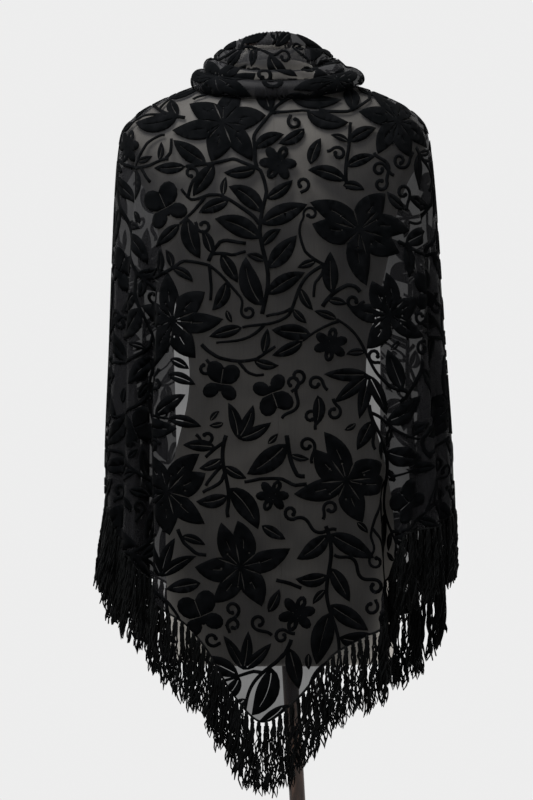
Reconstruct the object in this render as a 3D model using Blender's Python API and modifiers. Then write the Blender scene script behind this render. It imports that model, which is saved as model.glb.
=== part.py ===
"""A fringed velvet shawl worn open over a limbless dress form on a pole and a round base.

Metres, +Z up. The origin is the middle of the base's underside. The wearer's back faces -Y and the
wearer's left hand would be at -X. The shawl is one triangle of cloth: its right-angled corner hangs
down the back, its two sharp corners hang in front, and its long edge rolls into a collar.
"""

import bisect
import math
import random

import bmesh
import bpy
from mathutils import Matrix, Vector

# The stand and the form
BASE_RADIUS = 0.180
BASE_HEIGHT = 0.024
BASE_ROUNDING = 0.006
BASE_SIDES = 48
ROUNDING_STEPS = 4
POLE_RADIUS = 0.0108
POLE_SIDES = 28
FORM_BOTTOM = 0.651          # height of the form's flat underside
FORM_X = -0.054              # middle of the form, to one side of the base because the pole leans
POLE_TOP_X = -0.036          # where the leaning pole meets the underside
FORM_LEAN = 0.015            # sideways run of the form, upwards, for each unit of height
FORM_LEAN_HEIGHT = 1.18      # height at which the middle of the form is at FORM_X
SINK_BEGINS = 1.20           # between these two heights one shoulder comes to sit lower
SINK_FULL = 1.40
FORM_SEGMENTS = 32

# The cloth
WALL = 0.0014                # thickness of the velvet and its ground
SEAM = 0.0004                # space between neighbouring pieces
CREASE_ANGLE = 40            # degrees, above which an edge shows as an edge
REST_BESIDE = 0.0020         # from the form to the middle of the cloth at the shoulders, sideways
REST_ABOVE = 0.0014          # and upwards
LOWER_ROWS = 8               # steps from the shoulder down to the hem
STATION_HEIGHT = 0.76        # height at which distances round the cloth are measured
PARTINGS = (-0.1640, 0.1280) # stations where the solid cloth is parted into stretches

# The fringe
STRANDS_A_SIDE = 68          # one to each column of the cloth
STRAND_WIDTH = 0.0052
STRAND_LENGTH = 0.094
STRAND_SPREAD = 0.008        # the most by which one strand is longer or shorter
STRAND_TAPER = 0.60
SWAY = 0.004                 # sideways run of a strand for each unit of its length
HEM_SEAM = 0.0014            # from the middle of the hem's edge down to the strip
STRIP_HEIGHT = 0.005
STRIP_THICKNESS = 0.0018

# Level sections of the draped cloth
# height, half width, back depth, front depth, squareness, angle from the back to where the front
# begins to turn in, angle that the front edge turns in beyond it
CLOTH_LEVELS = [
    (1.437, 0.100, 0.072, 0.056, 2.0, 150, 0),
    (1.428, 0.127, 0.080, 0.062, 2.0, 149, 0),
    (1.415, 0.158, 0.088, 0.069, 2.0, 147, 0),
    (1.397, 0.189, 0.096, 0.078, 2.1, 145, 0),
    (1.373, 0.208, 0.105, 0.089, 2.2, 143, 0),
    (1.345, 0.213, 0.113, 0.101, 2.3, 142, 0),
    (1.285, 0.218, 0.124, 0.117, 2.5, 141, 2),
    (1.215, 0.222, 0.131, 0.130, 2.6, 140, 5),
    (1.080, 0.2285, 0.132, 0.138, 2.8, 139, 9),
    (0.910, 0.237, 0.130, 0.140, 2.9, 138, 13),
    (0.700, 0.240, 0.130, 0.142, 2.9, 138, 12),
    (0.540, 0.240, 0.128, 0.142, 2.9, 138, 12),
]
TURN_IN_POWER = 8            # how late, on the way round to the front edge, the cloth turns in
SHOULDER_ROWS = 6            # levels of the table that are rows of the cloth as they stand

# Folds that hang down the cloth. The station is the distance round the cloth from the middle of the
# back, - to the wearer's left. A fold deepens from the height where it begins to where it is full.
# station, half width, depth inwards, begins, full
FOLDS = [
    (-0.467, 0.022, 0.026, 1.20, 0.90),
    (-0.415, 0.023, 0.040, 1.33, 0.94),
    (-0.366, 0.023, 0.044, 1.30, 0.90),
    (-0.318, 0.022, 0.038, 1.34, 0.96),
    (-0.232, 0.018, 0.009, 1.37, 1.29),
    (-0.188, 0.019, 0.028, 1.26, 1.02),
    (-0.073, 0.022, 0.006, 0.84, 0.66),
    (0.065, 0.022, 0.006, 0.84, 0.66),
    (0.150, 0.019, 0.036, 1.04, 0.82),
    (0.191, 0.016, 0.008, 1.10, 0.98),
    (0.235, 0.018, 0.009, 1.37, 1.25),
    (0.320, 0.022, 0.038, 1.34, 0.96),
    (0.368, 0.023, 0.044, 1.30, 0.90),
    (0.417, 0.023, 0.040, 1.33, 0.94),
    (0.467, 0.022, 0.026, 1.20, 0.90),
]

# Height of the hem at each station
# station, height
HEM = [
    (-0.510, 0.714),
    (-0.470, 0.748),
    (-0.410, 0.786),
    (-0.350, 0.836),
    (-0.300, 0.860),
    (-0.262, 0.862),
    (-0.231, 0.812),
    (-0.207, 0.794),
    (-0.197, 0.778),
    (-0.192, 0.770),
    (-0.184, 0.767),
    (-0.179, 0.758),
    (-0.170, 0.738),
    (-0.129, 0.710),
    (-0.101, 0.678),
    (-0.065, 0.615),
    (-0.027, 0.581),
    (0.017, 0.610),
    (0.071, 0.672),
    (0.110, 0.694),
    (0.133, 0.704),
    (0.141, 0.736),
    (0.146, 0.762),
    (0.154, 0.768),
    (0.159, 0.792),
    (0.168, 0.828),
    (0.220, 0.838),
    (0.285, 0.858),
    (0.340, 0.850),
    (0.360, 0.836),
    (0.374, 0.830),
    (0.392, 0.778),
    (0.410, 0.744),
    (0.424, 0.738),
    (0.445, 0.712),
    (0.470, 0.705),
    (0.510, 0.708),
]

# The collar: the long edge of the shawl, rolled out over itself three times round the neck. Its
# section goes from the seat on the cloth, share 0, to the neck, share 1, and bulges outwards.
# share of the way in, bulge, rise at the back, rise at the side, rise at the front
COLLAR_SECTION = [
    (0.00, 0.000, 0.000, 0.000, 0.000),
    (0.00, 0.006, 0.006, 0.006, 0.006),
    (0.04, 0.006, 0.020, 0.016, 0.015),
    (0.18, 0.003, 0.031, 0.021, 0.019),
    (0.34, 0.000, 0.033, 0.021, 0.020),
    (0.38, 0.005, 0.042, 0.028, 0.027),
    (0.48, 0.004, 0.052, 0.033, 0.032),
    (0.62, 0.000, 0.055, 0.034, 0.033),
    (0.66, 0.004, 0.068, 0.042, 0.039),
    (0.76, 0.003, 0.081, 0.048, 0.044),
    (0.88, 0.000, 0.092, 0.050, 0.045),
    (0.98, 0.000, 0.086, 0.044, 0.039),
    (1.00, 0.000, 0.070, 0.031, 0.026),
]
COLLAR_STEPS = 18            # round each side of the neck
COLLAR_SEAT_BACK = 1.408     # height of the seat at the middle of the back
COLLAR_SEAT_SIDE = 1.436     # and from the top of the shoulder round to the front
COLLAR_SIDE_SHARE = 0.6      # of the way from the middle of the back to a front edge
NECK_RADIUS = 0.060          # inside of the collar

# Level sections of the form below its shoulders and above them, to be added to the cloth's own
# height, half width, back depth, front depth, squareness
FORM_NECK = [
    (1.487, 0.046, 0.044, 0.042, 2.0),
    (1.484, 0.050, 0.048, 0.045, 2.0),
    (1.462, 0.0525, 0.050, 0.046, 2.0),
    (1.448, 0.060, 0.056, 0.048, 2.0),
    (1.440, 0.076, 0.063, 0.051, 2.0),
]
FORM_TORSO = [
    (1.312, 0.186, 0.113, 0.106, 2.2),
    (1.270, 0.168, 0.117, 0.119, 2.2),
    (1.220, 0.159, 0.115, 0.126, 2.2),
    (1.150, 0.142, 0.103, 0.117, 2.2),
    (1.085, 0.124, 0.090, 0.099, 2.2),
    (1.040, 0.1195, 0.086, 0.092, 2.2),
    (0.995, 0.125, 0.089, 0.094, 2.2),
    (0.940, 0.142, 0.098, 0.098, 2.3),
    (0.880, 0.154, 0.107, 0.100, 2.3),
    (0.820, 0.158, 0.110, 0.100, 2.3),
    (0.745, 0.157, 0.109, 0.098, 2.3),
    (0.660, 0.154, 0.106, 0.094, 2.3),
    (FORM_BOTTOM, 0.149, 0.101, 0.089, 2.3),
]


def smooth(low, high, value):
    """0 at low, 1 at high, level at both ends."""
    t = min(1.0, max(0.0, (value - low) / (high - low)))
    return t * t * (3.0 - 2.0 * t)


def between(table, key):
    """Columns of a table at a key, on a curve through its rows that never overshoots them."""
    rows = sorted(table)
    keys = [row[0] for row in rows]
    key = min(max(key, keys[0]), keys[-1])
    at = min(max(bisect.bisect_right(keys, key) - 1, 0), len(rows) - 2)
    span = keys[at + 1] - keys[at]
    t = (key - keys[at]) / span
    values = []
    for column in range(1, len(rows[0])):
        slopes = []
        for knot in (at, at + 1):
            if knot in (0, len(rows) - 1):
                slopes.append((rows[at + 1][column] - rows[at][column]) / span)
                continue
            before = (rows[knot][column] - rows[knot - 1][column]) / (keys[knot] - keys[knot - 1])
            after = (rows[knot + 1][column] - rows[knot][column]) / (keys[knot + 1] - keys[knot])
            slopes.append(0.0 if before * after <= 0 else 2 * before * after / (before + after))
        low, high = rows[at][column], rows[at + 1][column]
        values.append(
            (2 * t ** 3 - 3 * t ** 2 + 1) * low + (t ** 3 - 2 * t ** 2 + t) * span * slopes[0]
            + (3 * t ** 2 - 2 * t ** 3) * high + (t ** 3 - t ** 2) * span * slopes[1]
        )
    return values


def leaning(x, y, height):
    """Point beside the form's middle, moved with the lean that lowers the left shoulder a little."""
    sink = FORM_LEAN * x * smooth(SINK_BEGINS, SINK_FULL, height)
    return Vector((FORM_X + x + FORM_LEAN * (FORM_LEAN_HEIGHT - height), y, height + sink))


def ring_point(angle, height, half_width, back, front, squareness):
    """Point of a level section, at an angle in radians from the middle of the back."""
    sine, cosine = math.sin(angle), math.cos(angle)
    depth = back if cosine > 0 else front
    x = math.copysign(abs(sine) ** (2 / squareness), sine) * half_width
    y = -math.copysign(abs(cosine) ** (2 / squareness), cosine) * depth
    return leaning(x, y, height)


class Drape:
    """The draped cloth as a function of a column round it and a row down it."""

    SAMPLES = 900

    def __init__(self):
        self.stations = self.lengths(self.plain_ring, 1)
        self.columns = {side: self.even_columns(side) for side in (-1, 1)}

    def plain(self, side, share, height):
        """Point without folds at a share of the way from the back's middle to the front edge."""
        half_width, back, front, squareness, straight, turn_in = between(CLOTH_LEVELS, height)
        angle = side * math.radians(share * straight + share ** TURN_IN_POWER * turn_in)
        return ring_point(angle, height, half_width, back, front, squareness)

    def plain_ring(self, side, share):
        return self.plain(side, share, STATION_HEIGHT)

    def hem_point(self, side, share):
        return self.point(side, share, self.hem(side, share))

    def lengths(self, point_of, side):
        """Distance along a line round the cloth, from the middle of the back to each share."""
        total, found, last = 0.0, [], None
        for i in range(self.SAMPLES + 1):
            point = point_of(side, i / self.SAMPLES)
            if last is not None:
                total += (point - last).length
            found.append(total)
            last = point
        return found

    def station(self, side, share):
        place = share * self.SAMPLES
        low = min(int(place), self.SAMPLES - 1)
        step = self.stations[low + 1] - self.stations[low]
        return side * (self.stations[low] + step * (place - low))

    def even_columns(self, side):
        """Shares of the columns, evenly spaced along the hem."""
        lengths = self.lengths(self.hem_point, side)
        shares = []
        for column in range(STRANDS_A_SIDE + 1):
            target = lengths[-1] * column / STRANDS_A_SIDE
            at = min(max(bisect.bisect_right(lengths, target) - 1, 0), self.SAMPLES - 1)
            part = (target - lengths[at]) / (lengths[at + 1] - lengths[at])
            shares.append((at + part) / self.SAMPLES)
        return shares

    def outward(self, side, share, height):
        """Level direction out of the cloth without its folds."""
        step = 0.004
        ahead = self.plain(side, min(share + step, 1.0), height)
        behind = self.plain(side, max(share - step, -step), height)
        along = (ahead - behind) * side
        return Vector((along.y, -along.x, 0.0)).normalized()

    def normal(self, side, share, height):
        """Outward direction square to the cloth without its folds."""
        step = 0.002
        down = self.plain(side, share, height - step) - self.plain(side, share, height + step)
        out = self.outward(side, share, height)
        along = Vector((-out.y, out.x, 0.0))
        return down.cross(along).normalized()

    def point(self, side, share, height):
        """Point of the cloth's middle surface."""
        station = self.station(side, share)
        depth = 0.0
        for place, half_width, full_depth, begins, full in FOLDS:
            offset = (station - place) / half_width
            if abs(offset) < 1:
                bump = math.cos(offset * math.pi / 2) ** 2
                depth += full_depth * bump * smooth(begins, full, height)
        return self.plain(side, share, height) - self.outward(side, share, height) * depth

    def hem(self, side, share):
        return between(HEM, self.station(side, share))[0]

    def heights(self, side, share):
        """Heights of the rows of a column, from the neck to the hem."""
        top = [row[0] for row in CLOTH_LEVELS[:SHOULDER_ROWS]]
        hem = self.hem(side, share)
        drop = (top[-1] - hem) / LOWER_ROWS
        return top + [top[-1] - drop * (row + 1) for row in range(LOWER_ROWS)]

    def column(self, index):
        """Side and share of a column, counted from the left front edge to the right one."""
        offset = index - STRANDS_A_SIDE
        side = 1 if offset >= 0 else -1
        return side, self.columns[side][abs(offset)]

    def column_points(self, index):
        side, share = self.column(index)
        return [self.point(side, share, height) for height in self.heights(side, share)]


def collection_of(name):
    collection = bpy.data.collections.new(name)
    bpy.context.scene.collection.children.link(collection)
    return collection


def material_of(name, colour, roughness):
    material = bpy.data.materials.new(name)
    material.use_nodes = True
    shader = material.node_tree.nodes["Principled BSDF"]
    shader.inputs["Base Color"].default_value = (*colour, 1.0)
    shader.inputs["Roughness"].default_value = roughness
    return material


def add_object(name, mesh_data, material, collection):
    """Object made of a bmesh, in its collection and with its material."""
    mesh = bpy.data.meshes.new(name)
    mesh_data.to_mesh(mesh)
    mesh_data.free()
    mesh.materials.append(material)
    mesh.shade_smooth()
    mesh.set_sharp_from_angle(angle=math.radians(CREASE_ANGLE))
    thing = bpy.data.objects.new(name, mesh)
    collection.objects.link(thing)
    return thing


def grid(columns):
    """Open surface through columns of points, facing out when they run leftwards round the back."""
    surface = bmesh.new()
    rows = [[surface.verts.new(point) for point in column] for column in columns]
    for left, right in zip(rows, rows[1:]):
        for row in range(len(left) - 1):
            surface.faces.new((left[row], left[row + 1], right[row + 1], right[row]))
    return surface


def thicken(thing, thickness):
    """Wall on both sides of an open surface."""
    wall = thing.modifiers.new("Wall", "SOLIDIFY")
    wall.thickness = thickness
    wall.offset = 0.0


def loft(rings):
    """Closed body through rings of equal count, capped at both ends."""
    body = bmesh.new()
    loops = [[body.verts.new(point) for point in ring] for ring in rings]
    count = len(loops[0])
    for upper, lower in zip(loops, loops[1:]):
        for i in range(count):
            j = (i + 1) % count
            body.faces.new((upper[i], lower[i], lower[j], upper[j]))
    body.faces.new(loops[0])
    body.faces.new(reversed(loops[-1]))
    bmesh.ops.recalc_face_normals(body, faces=body.faces)
    return body


def make_form(material, collection):
    """Smooth torso with a neck and no arms, whose shoulders carry the cloth."""
    shoulders = [
        (height - REST_ABOVE, half_width - REST_BESIDE, back - REST_BESIDE, front - REST_BESIDE, squareness)
        for height, half_width, back, front, squareness, *_ in CLOTH_LEVELS[:SHOULDER_ROWS]
    ]
    rings = []
    for height, *section in FORM_NECK + shoulders + FORM_TORSO:
        angles = [math.tau * segment / FORM_SEGMENTS for segment in range(FORM_SEGMENTS)]
        rings.append([ring_point(angle, height, *section) for angle in angles])
    return add_object("dress_form", loft(rings), material, collection)


def make_pole(material, collection):
    """Turned pole that leans a little, cut level at both ends."""
    low, high = BASE_HEIGHT + SEAM, FORM_BOTTOM - SEAM
    pole = bmesh.new()
    bmesh.ops.create_cone(
        pole, cap_ends=True, cap_tris=False, segments=POLE_SIDES,
        radius1=POLE_RADIUS, radius2=POLE_RADIUS, depth=high - low,
    )
    lean = POLE_TOP_X / (high - low)
    shear = Matrix(((1, 0, lean, POLE_TOP_X / 2), (0, 1, 0, 0), (0, 0, 1, (low + high) / 2), (0, 0, 0, 1)))
    bmesh.ops.transform(pole, matrix=shear, verts=pole.verts)
    return add_object("stand_pole", pole, material, collection)


def make_base(material, collection):
    """Turned round base with a soft upper edge and a flat underside."""
    profile = bmesh.new()
    points = [(0.0, BASE_HEIGHT)]
    for step in range(ROUNDING_STEPS + 1):
        turn = math.pi / 2 * step / ROUNDING_STEPS
        points.append((
            BASE_RADIUS - BASE_ROUNDING * (1 - math.sin(turn)),
            BASE_HEIGHT - BASE_ROUNDING * (1 - math.cos(turn)),
        ))
    points += [(BASE_RADIUS, 0.0), (0.0, 0.0)]
    verts = [profile.verts.new((x, 0.0, z)) for x, z in points]
    for upper, lower in zip(verts, verts[1:]):
        profile.edges.new((upper, lower))
    base = add_object("stand_base", profile, material, collection)
    turned = base.modifiers.new("Turned", "SCREW")
    turned.steps = BASE_SIDES
    turned.render_steps = BASE_SIDES
    turned.use_merge_vertices = True
    turned.merge_threshold = 0.00001
    return base


def make_cloth(drape, material, collection):
    """The stretches of the draped cloth, parted on the flat cloth beside its two deepest folds."""
    count = 2 * STRANDS_A_SIDE + 1
    stations = [drape.station(*drape.column(index)) for index in range(count)]
    left, right = [min(range(count), key=lambda i: abs(stations[i] - place)) for place in PARTINGS]
    stretches = {
        "shawl_left_front": (0, left),
        "shawl_back": (left, right),
        "shawl_right_front": (right, count - 1),
    }
    for name, (first, last) in stretches.items():
        columns = [drape.column_points(index) for index in range(first, last + 1)]
        if first > 0:
            columns[0] = drawn_in(columns[0], columns[1])
        if last < count - 1:
            columns[-1] = drawn_in(columns[-1], columns[-2])
        thicken(add_object(name, grid(columns), material, collection), WALL)


def drawn_in(column, inner):
    """Column moved a seam's width towards its neighbour, so two stretches part by twice that."""
    return [a + (b - a).normalized() * SEAM for a, b in zip(column, inner)]


def hem_line(drape, side):
    """Corners of the hem from the middle of the back to a front edge, with outward directions."""
    line = [drape.hem_point(side, share) for share in drape.columns[side]]
    outward = []
    for i in range(len(line)):
        along = (line[min(i + 1, len(line) - 1)] - line[max(i - 1, 0)]) * side
        outward.append(Vector((along.y, -along.x, 0.0)).normalized())
    return line, outward


def make_fringe(name, drape, side, material, collection):
    """Strip parted from the hem, with the strands of the fringe drawn down from its underside."""
    line, outward = hem_line(drape, side)
    chance = random.Random(name)
    places = []
    for (start, end), (out, after) in zip(zip(line, line[1:]), zip(outward, outward[1:])):
        part = STRAND_WIDTH / (end - start).length
        places.append((start, out))
        places.append((start.lerp(end, part), out.lerp(after, part).normalized()))
    places.append((line[-1], outward[-1]))
    apart = (line[1] - line[0]).normalized() * SEAM
    places[0] = (line[0] + apart, outward[0])
    fringe = bmesh.new()
    stations = []
    for point, out in places:
        half = out * STRIP_THICKNESS / 2
        top = point - Vector((0, 0, HEM_SEAM))
        low = top - Vector((0, 0, STRIP_HEIGHT))
        stations.append([fringe.verts.new(p) for p in (top + half, low + half, low - half, top - half)])
    fringe.faces.new(stations[0])
    fringe.faces.new(stations[-1])
    for order, (near, far) in enumerate(zip(stations, stations[1:])):
        strand = order % 2 == 0
        for corner in (0, 2, 3) if strand else (0, 1, 2, 3):
            after = (corner + 1) % 4
            fringe.faces.new((near[corner], near[after], far[after], far[corner]))
        if strand:
            length = STRAND_LENGTH + chance.uniform(-STRAND_SPREAD, STRAND_SPREAD)
            sway = Vector((chance.uniform(-SWAY, SWAY), chance.uniform(-SWAY, SWAY), -1.0)) * length
            draw_strand(fringe, [near[1], far[1], far[2], near[2]], sway)
    bmesh.ops.recalc_face_normals(fringe, faces=fringe.faces)
    return add_object(name, fringe, material, collection)


def draw_strand(fringe, roots, sway):
    """Four-sided strand from its root's corners, tapered to a level tip."""
    middle = sum((vert.co for vert in roots), Vector()) / 4
    tips = []
    for vert in roots:
        spread = (vert.co - middle) * STRAND_TAPER
        spread.z = 0.0
        tips.append(fringe.verts.new(middle + spread + sway))
    for i in range(4):
        j = (i + 1) % 4
        fringe.faces.new((roots[i], roots[j], tips[j], tips[i]))
    fringe.faces.new(tips)


def make_collar(drape, material, collection):
    """The rolled long edge of the cloth, seated on the cloth round the neck."""
    columns = []
    for index in range(-COLLAR_STEPS, COLLAR_STEPS + 1):
        side = 1 if index >= 0 else -1
        turn = abs(index) / COLLAR_STEPS
        beside = smooth(0.0, COLLAR_SIDE_SHARE, turn)
        front = smooth(COLLAR_SIDE_SHARE, 1.0, turn)
        height = COLLAR_SEAT_BACK + (COLLAR_SEAT_SIDE - COLLAR_SEAT_BACK) * beside
        out = drape.outward(side, turn, height)
        seat = drape.plain(side, turn, height) + drape.normal(side, turn, height) * (WALL + SEAM)
        angle = turn * math.radians(CLOTH_LEVELS[0][5])
        neck = leaning(math.sin(angle) * side * NECK_RADIUS, -math.cos(angle) * NECK_RADIUS, seat.z)
        neck.z = seat.z
        column = []
        for share, bulge, rise_back, rise_side, rise_front in COLLAR_SECTION:
            rise = rise_back + (rise_side - rise_back) * beside
            rise += (rise_front - rise) * front
            column.append(seat.lerp(neck, share) + out * bulge + Vector((0.0, 0.0, rise)))
        columns.append(column[::-1])
    thicken(add_object("shawl_collar", grid(columns), material, collection), WALL)


def main():
    for thing in list(bpy.data.objects):
        bpy.data.objects.remove(thing, do_unlink=True)
    collection = collection_of("fringed_velvet_shawl_on_dress_form")
    velvet = material_of("black_velvet", (0.006, 0.006, 0.007), 0.95)
    fringe = material_of("black_rayon_fringe", (0.008, 0.008, 0.009), 0.6)
    jersey = material_of("pale_jersey", (0.62, 0.59, 0.55), 0.9)
    wood = material_of("turned_wood", (0.10, 0.045, 0.022), 0.45)
    make_base(wood, collection)
    make_pole(wood, collection)
    make_form(jersey, collection)
    drape = Drape()
    make_cloth(drape, velvet, collection)
    make_collar(drape, velvet, collection)
    make_fringe("fringe_left", drape, -1, fringe, collection)
    make_fringe("fringe_right", drape, 1, fringe, collection)


main()
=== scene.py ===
import math
import random

import bmesh
import bpy
import numpy as np
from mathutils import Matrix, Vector
from mathutils.geometry import delaunay_2d_cdt


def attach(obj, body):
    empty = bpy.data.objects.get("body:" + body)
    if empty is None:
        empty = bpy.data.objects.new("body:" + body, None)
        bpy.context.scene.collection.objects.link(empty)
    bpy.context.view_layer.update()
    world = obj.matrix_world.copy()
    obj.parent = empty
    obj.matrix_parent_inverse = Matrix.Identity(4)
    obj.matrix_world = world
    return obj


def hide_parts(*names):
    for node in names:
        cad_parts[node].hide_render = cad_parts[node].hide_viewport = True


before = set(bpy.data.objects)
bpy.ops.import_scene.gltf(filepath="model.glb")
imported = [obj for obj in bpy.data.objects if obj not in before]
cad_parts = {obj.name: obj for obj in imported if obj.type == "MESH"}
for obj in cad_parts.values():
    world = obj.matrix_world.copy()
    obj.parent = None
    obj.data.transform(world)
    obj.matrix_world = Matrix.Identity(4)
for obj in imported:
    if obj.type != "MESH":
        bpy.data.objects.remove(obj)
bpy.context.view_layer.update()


# The stand's base
# A round turned disc of stained hardwood with a softened upper edge. It stands flat on the floor,
# and the pole is let into its middle.
class Shade:
    """A socket of a material. Sums on it add Math nodes, and its functions add other nodes."""

    def __init__(self, tree, socket=None):
        self.tree = tree
        self.socket = socket

    def node(self, kind, sockets=None, output=0, **settings):
        made = self.tree.nodes.new("ShaderNode" + kind)
        for name, value in settings.items():
            setattr(made, name, value)
        for name, value in (sockets or {}).items():
            if isinstance(value, Shade):
                self.tree.links.new(value.socket, made.inputs[name])
            else:
                made.inputs[name].default_value = value
        return Shade(self.tree, made.outputs[output])

    def noise(self, scale, detail, **sockets):
        return self.node("TexNoise", {"Vector": self, "Scale": scale, "Detail": detail, **sockets})

    def tones(self, *stops):
        """Colours at stops along this socket's value."""
        made = self.node("ValToRGB", {"Fac": self})
        ramp = made.socket.node.color_ramp.elements
        while len(ramp) < len(stops):
            ramp.new(1.0)
        for element, (place, colour) in zip(ramp, stops):
            element.position = place
            element.color = (*colour, 1.0)
        return made

    def relief(self, strength, distance):
        return self.node("Bump", {"Height": self, "Strength": strength, "Distance": distance})

    def sum(self, operation, first, second):
        return self.node("Math", {0: first, 1: second}, operation=operation)

    def __add__(self, other):
        return self.sum("ADD", self, other)

    def __sub__(self, other):
        return self.sum("SUBTRACT", self, other)

    def __rsub__(self, other):
        return self.sum("SUBTRACT", other, self)

    def __mul__(self, other):
        return self.sum("MULTIPLY", self, other)

    __radd__ = __add__
    __rmul__ = __mul__


def new_finish(name, **fixed):
    """Material with the values that are the same all over it, and the place on the object."""
    material = bpy.data.materials.new(name)
    material.use_nodes = True
    shader = material.node_tree.nodes["Principled BSDF"]
    for socket, value in fixed.items():
        shader.inputs[socket.replace("_", " ")].default_value = value
    return material, Shade(material.node_tree).node("TexCoord", output=3)


def feed(material, **varying):
    """Links what varies over the surface to the material's shader."""
    shader = material.node_tree.nodes["Principled BSDF"]
    for socket, value in varying.items():
        material.node_tree.links.new(value.socket, shader.inputs[socket.replace("_", " ")])


def stained_wood(name, grain_scale):
    """Brown stain over a grain that runs along the axis with the small scale, rubbed paler in streaks."""
    material, place = new_finish(name, Coat_Weight=0.12, Coat_Roughness=0.3, Specular_IOR_Level=0.2)
    along = place.node("Mapping", {"Vector": place, "Scale": grain_scale})
    streaks = along.noise(130.0, 5.0, Roughness=0.62)
    patches = place.noise(14.0, 2.0)
    grain = streaks * 0.75 + patches * 0.25
    colour = grain.tones((0.38, (0.012, 0.007, 0.005)),
                         (0.51, (0.028, 0.015, 0.010)), (0.62, (0.090, 0.048, 0.031)))
    relief = streaks.relief(0.25, 0.0006)
    feed(material, Base_Color=colour, Roughness=0.55 - grain * 0.25, Normal=relief)
    return material


def refinish(node, material):
    """Gives a CAD node that already has its shape a better material."""
    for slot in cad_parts[node].material_slots:
        slot.material = material


GRAIN_STRETCH = 0.12
refinish("stand_base", stained_wood("base_wood", (GRAIN_STRETCH, 1.0, 1.0)))


# The stand's pole
# A turned wooden pole, straight but set a little off upright. It runs from the base up into the
# underside of the dress form.
pole_wood = stained_wood("pole_wood", (1.0, 1.0, GRAIN_STRETCH))
refinish("stand_pole", pole_wood)


# The dress form
# A limbless torso padded and covered in pale jersey, sewn together down the middle of the back and
# the front, with a turned cap on its neck. The shawl rests on its shoulders.
FORM_MIDDLE_X = -0.054
FORM_LEAN = 0.015
FORM_LEAN_HEIGHT = 1.18
NECK_TOP = 1.487
NECK_CAP_LIFT = 0.0003
SEAM_HALF_WIDTH = 0.0016

# Profile of the neck's cap, from the middle of its top to the middle of its underside
# radius, height over the neck
NECK_CAP = [
    (0.0, 0.0095), (0.010, 0.0090), (0.017, 0.0070), (0.022, 0.0052), (0.036, 0.0048),
    (0.0405, 0.0036), (0.0405, 0.0010), (0.0390, 0.0), (0.0, 0.0),
]


def jersey():
    """Fine pale knit, a little uneven, with the middle seams drawn in as a shallow groove."""
    material, place = new_finish("pale_jersey", Roughness=0.92, Sheen_Weight=0.15,
                                 Specular_IOR_Level=0.2)
    knit = place.node("TexWave", {"Vector": place, "Scale": 420.0, "Distortion": 1.5, "Detail": 1.0},
                      wave_type="BANDS", bands_direction="X")
    wear = place.noise(9.0, 3.0)
    colour = wear.tones((0.30, (0.39, 0.365, 0.33)), (0.70, (0.46, 0.435, 0.395)))
    across = place.node("SeparateXYZ", {0: place})
    height = place.node("SeparateXYZ", {0: place}, output=2)
    aside = across - FORM_MIDDLE_X + (height - FORM_LEAN_HEIGHT) * FORM_LEAN
    off_seam = place.node("Math", {0: aside}, operation="ABSOLUTE")
    seam = place.node("MapRange", {"Value": off_seam, "From Min": 0.0, "From Max": SEAM_HALF_WIDTH,
                                   "To Min": 0.0, "To Max": 1.0}, interpolation_type="SMOOTHSTEP")
    shaded = place.node("Mix", {"Factor": seam * 0.2 + 0.8, "A": (0.20, 0.17, 0.15, 1.0), "B": colour},
                        output=2, data_type="RGBA")
    relief = (knit * 0.2 + seam).relief(0.4, 0.0008)
    feed(material, Base_Color=shaded, Normal=relief)
    return material


def new_object(name, data):
    made = bpy.data.objects.new(name, data)
    bpy.context.scene.collection.objects.link(made)
    return made


def mesh_of(name, shape, material):
    """Mesh made of a bmesh, which is freed."""
    mesh = bpy.data.meshes.new(name)
    shape.to_mesh(mesh)
    shape.free()
    mesh.materials.append(material)
    return mesh


def add_piece(name, shape, material, slot, *nodes):
    """Object made of a bmesh, which rides on the part and stands for these CAD nodes."""
    piece = new_object(name, mesh_of(name, shape, material))
    piece.data.shade_smooth()
    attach(piece, "root")
    if nodes:
        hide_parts(*nodes)
    return piece


def padded_torso():
    """The CAD form's own surface, its triangles joined again, so that it can be subdivided."""
    shape = bmesh.new()
    shape.from_mesh(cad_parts["dress_form"].data)
    bmesh.ops.remove_doubles(shape, verts=shape.verts, dist=0.00005)
    bmesh.ops.join_triangles(shape, faces=shape.faces, angle_face_threshold=math.radians(60),
                             angle_shape_threshold=math.radians(60))
    return shape


torso = add_piece("form_torso", padded_torso(), jersey(), "form_jersey", "dress_form")
rounding = torso.modifiers.new("Rounding", "SUBSURF")
rounding.levels = 2
rounding.render_levels = 2


def neck_cap():
    """Low turned disc on the neck's flat top, spun from its profile."""
    middle_x = FORM_MIDDLE_X + FORM_LEAN * (FORM_LEAN_HEIGHT - NECK_TOP)
    middle = Vector((middle_x, 0.0, NECK_TOP + NECK_CAP_LIFT))
    shape = bmesh.new()
    profile = [shape.verts.new(middle + Vector((radius, 0.0, rise))) for radius, rise in NECK_CAP]
    sides = [shape.edges.new(pair) for pair in zip(profile, profile[1:])]
    bmesh.ops.spin(shape, geom=profile + sides, cent=middle, axis=(0, 0, 1), angle=math.tau, steps=48,
                   use_merge=True)
    bmesh.ops.remove_doubles(shape, verts=shape.verts, dist=0.00001)
    bmesh.ops.recalc_face_normals(shape, faces=shape.faces)
    return shape


add_piece("form_neck_cap", neck_cap(), pole_wood, "stand_wood")


# The shawl's ground
# One right-angled triangle of black silk chiffon, the woven ground of the burnout velvet. Its
# right-angled corner hangs down the back, its sharp corners hang in front, and it lies loose.
GROUND_TOP = 1.437
STATION_HEIGHT = 0.76
SINK_BEGINS, SINK_FULL = 1.20, 1.40
GROUND_COLUMNS = 460
GROUND_ROWS = 110
ROW_SPREAD = 1.2
RING_STEPS = 901
HEM_STEPS = 2401

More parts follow.
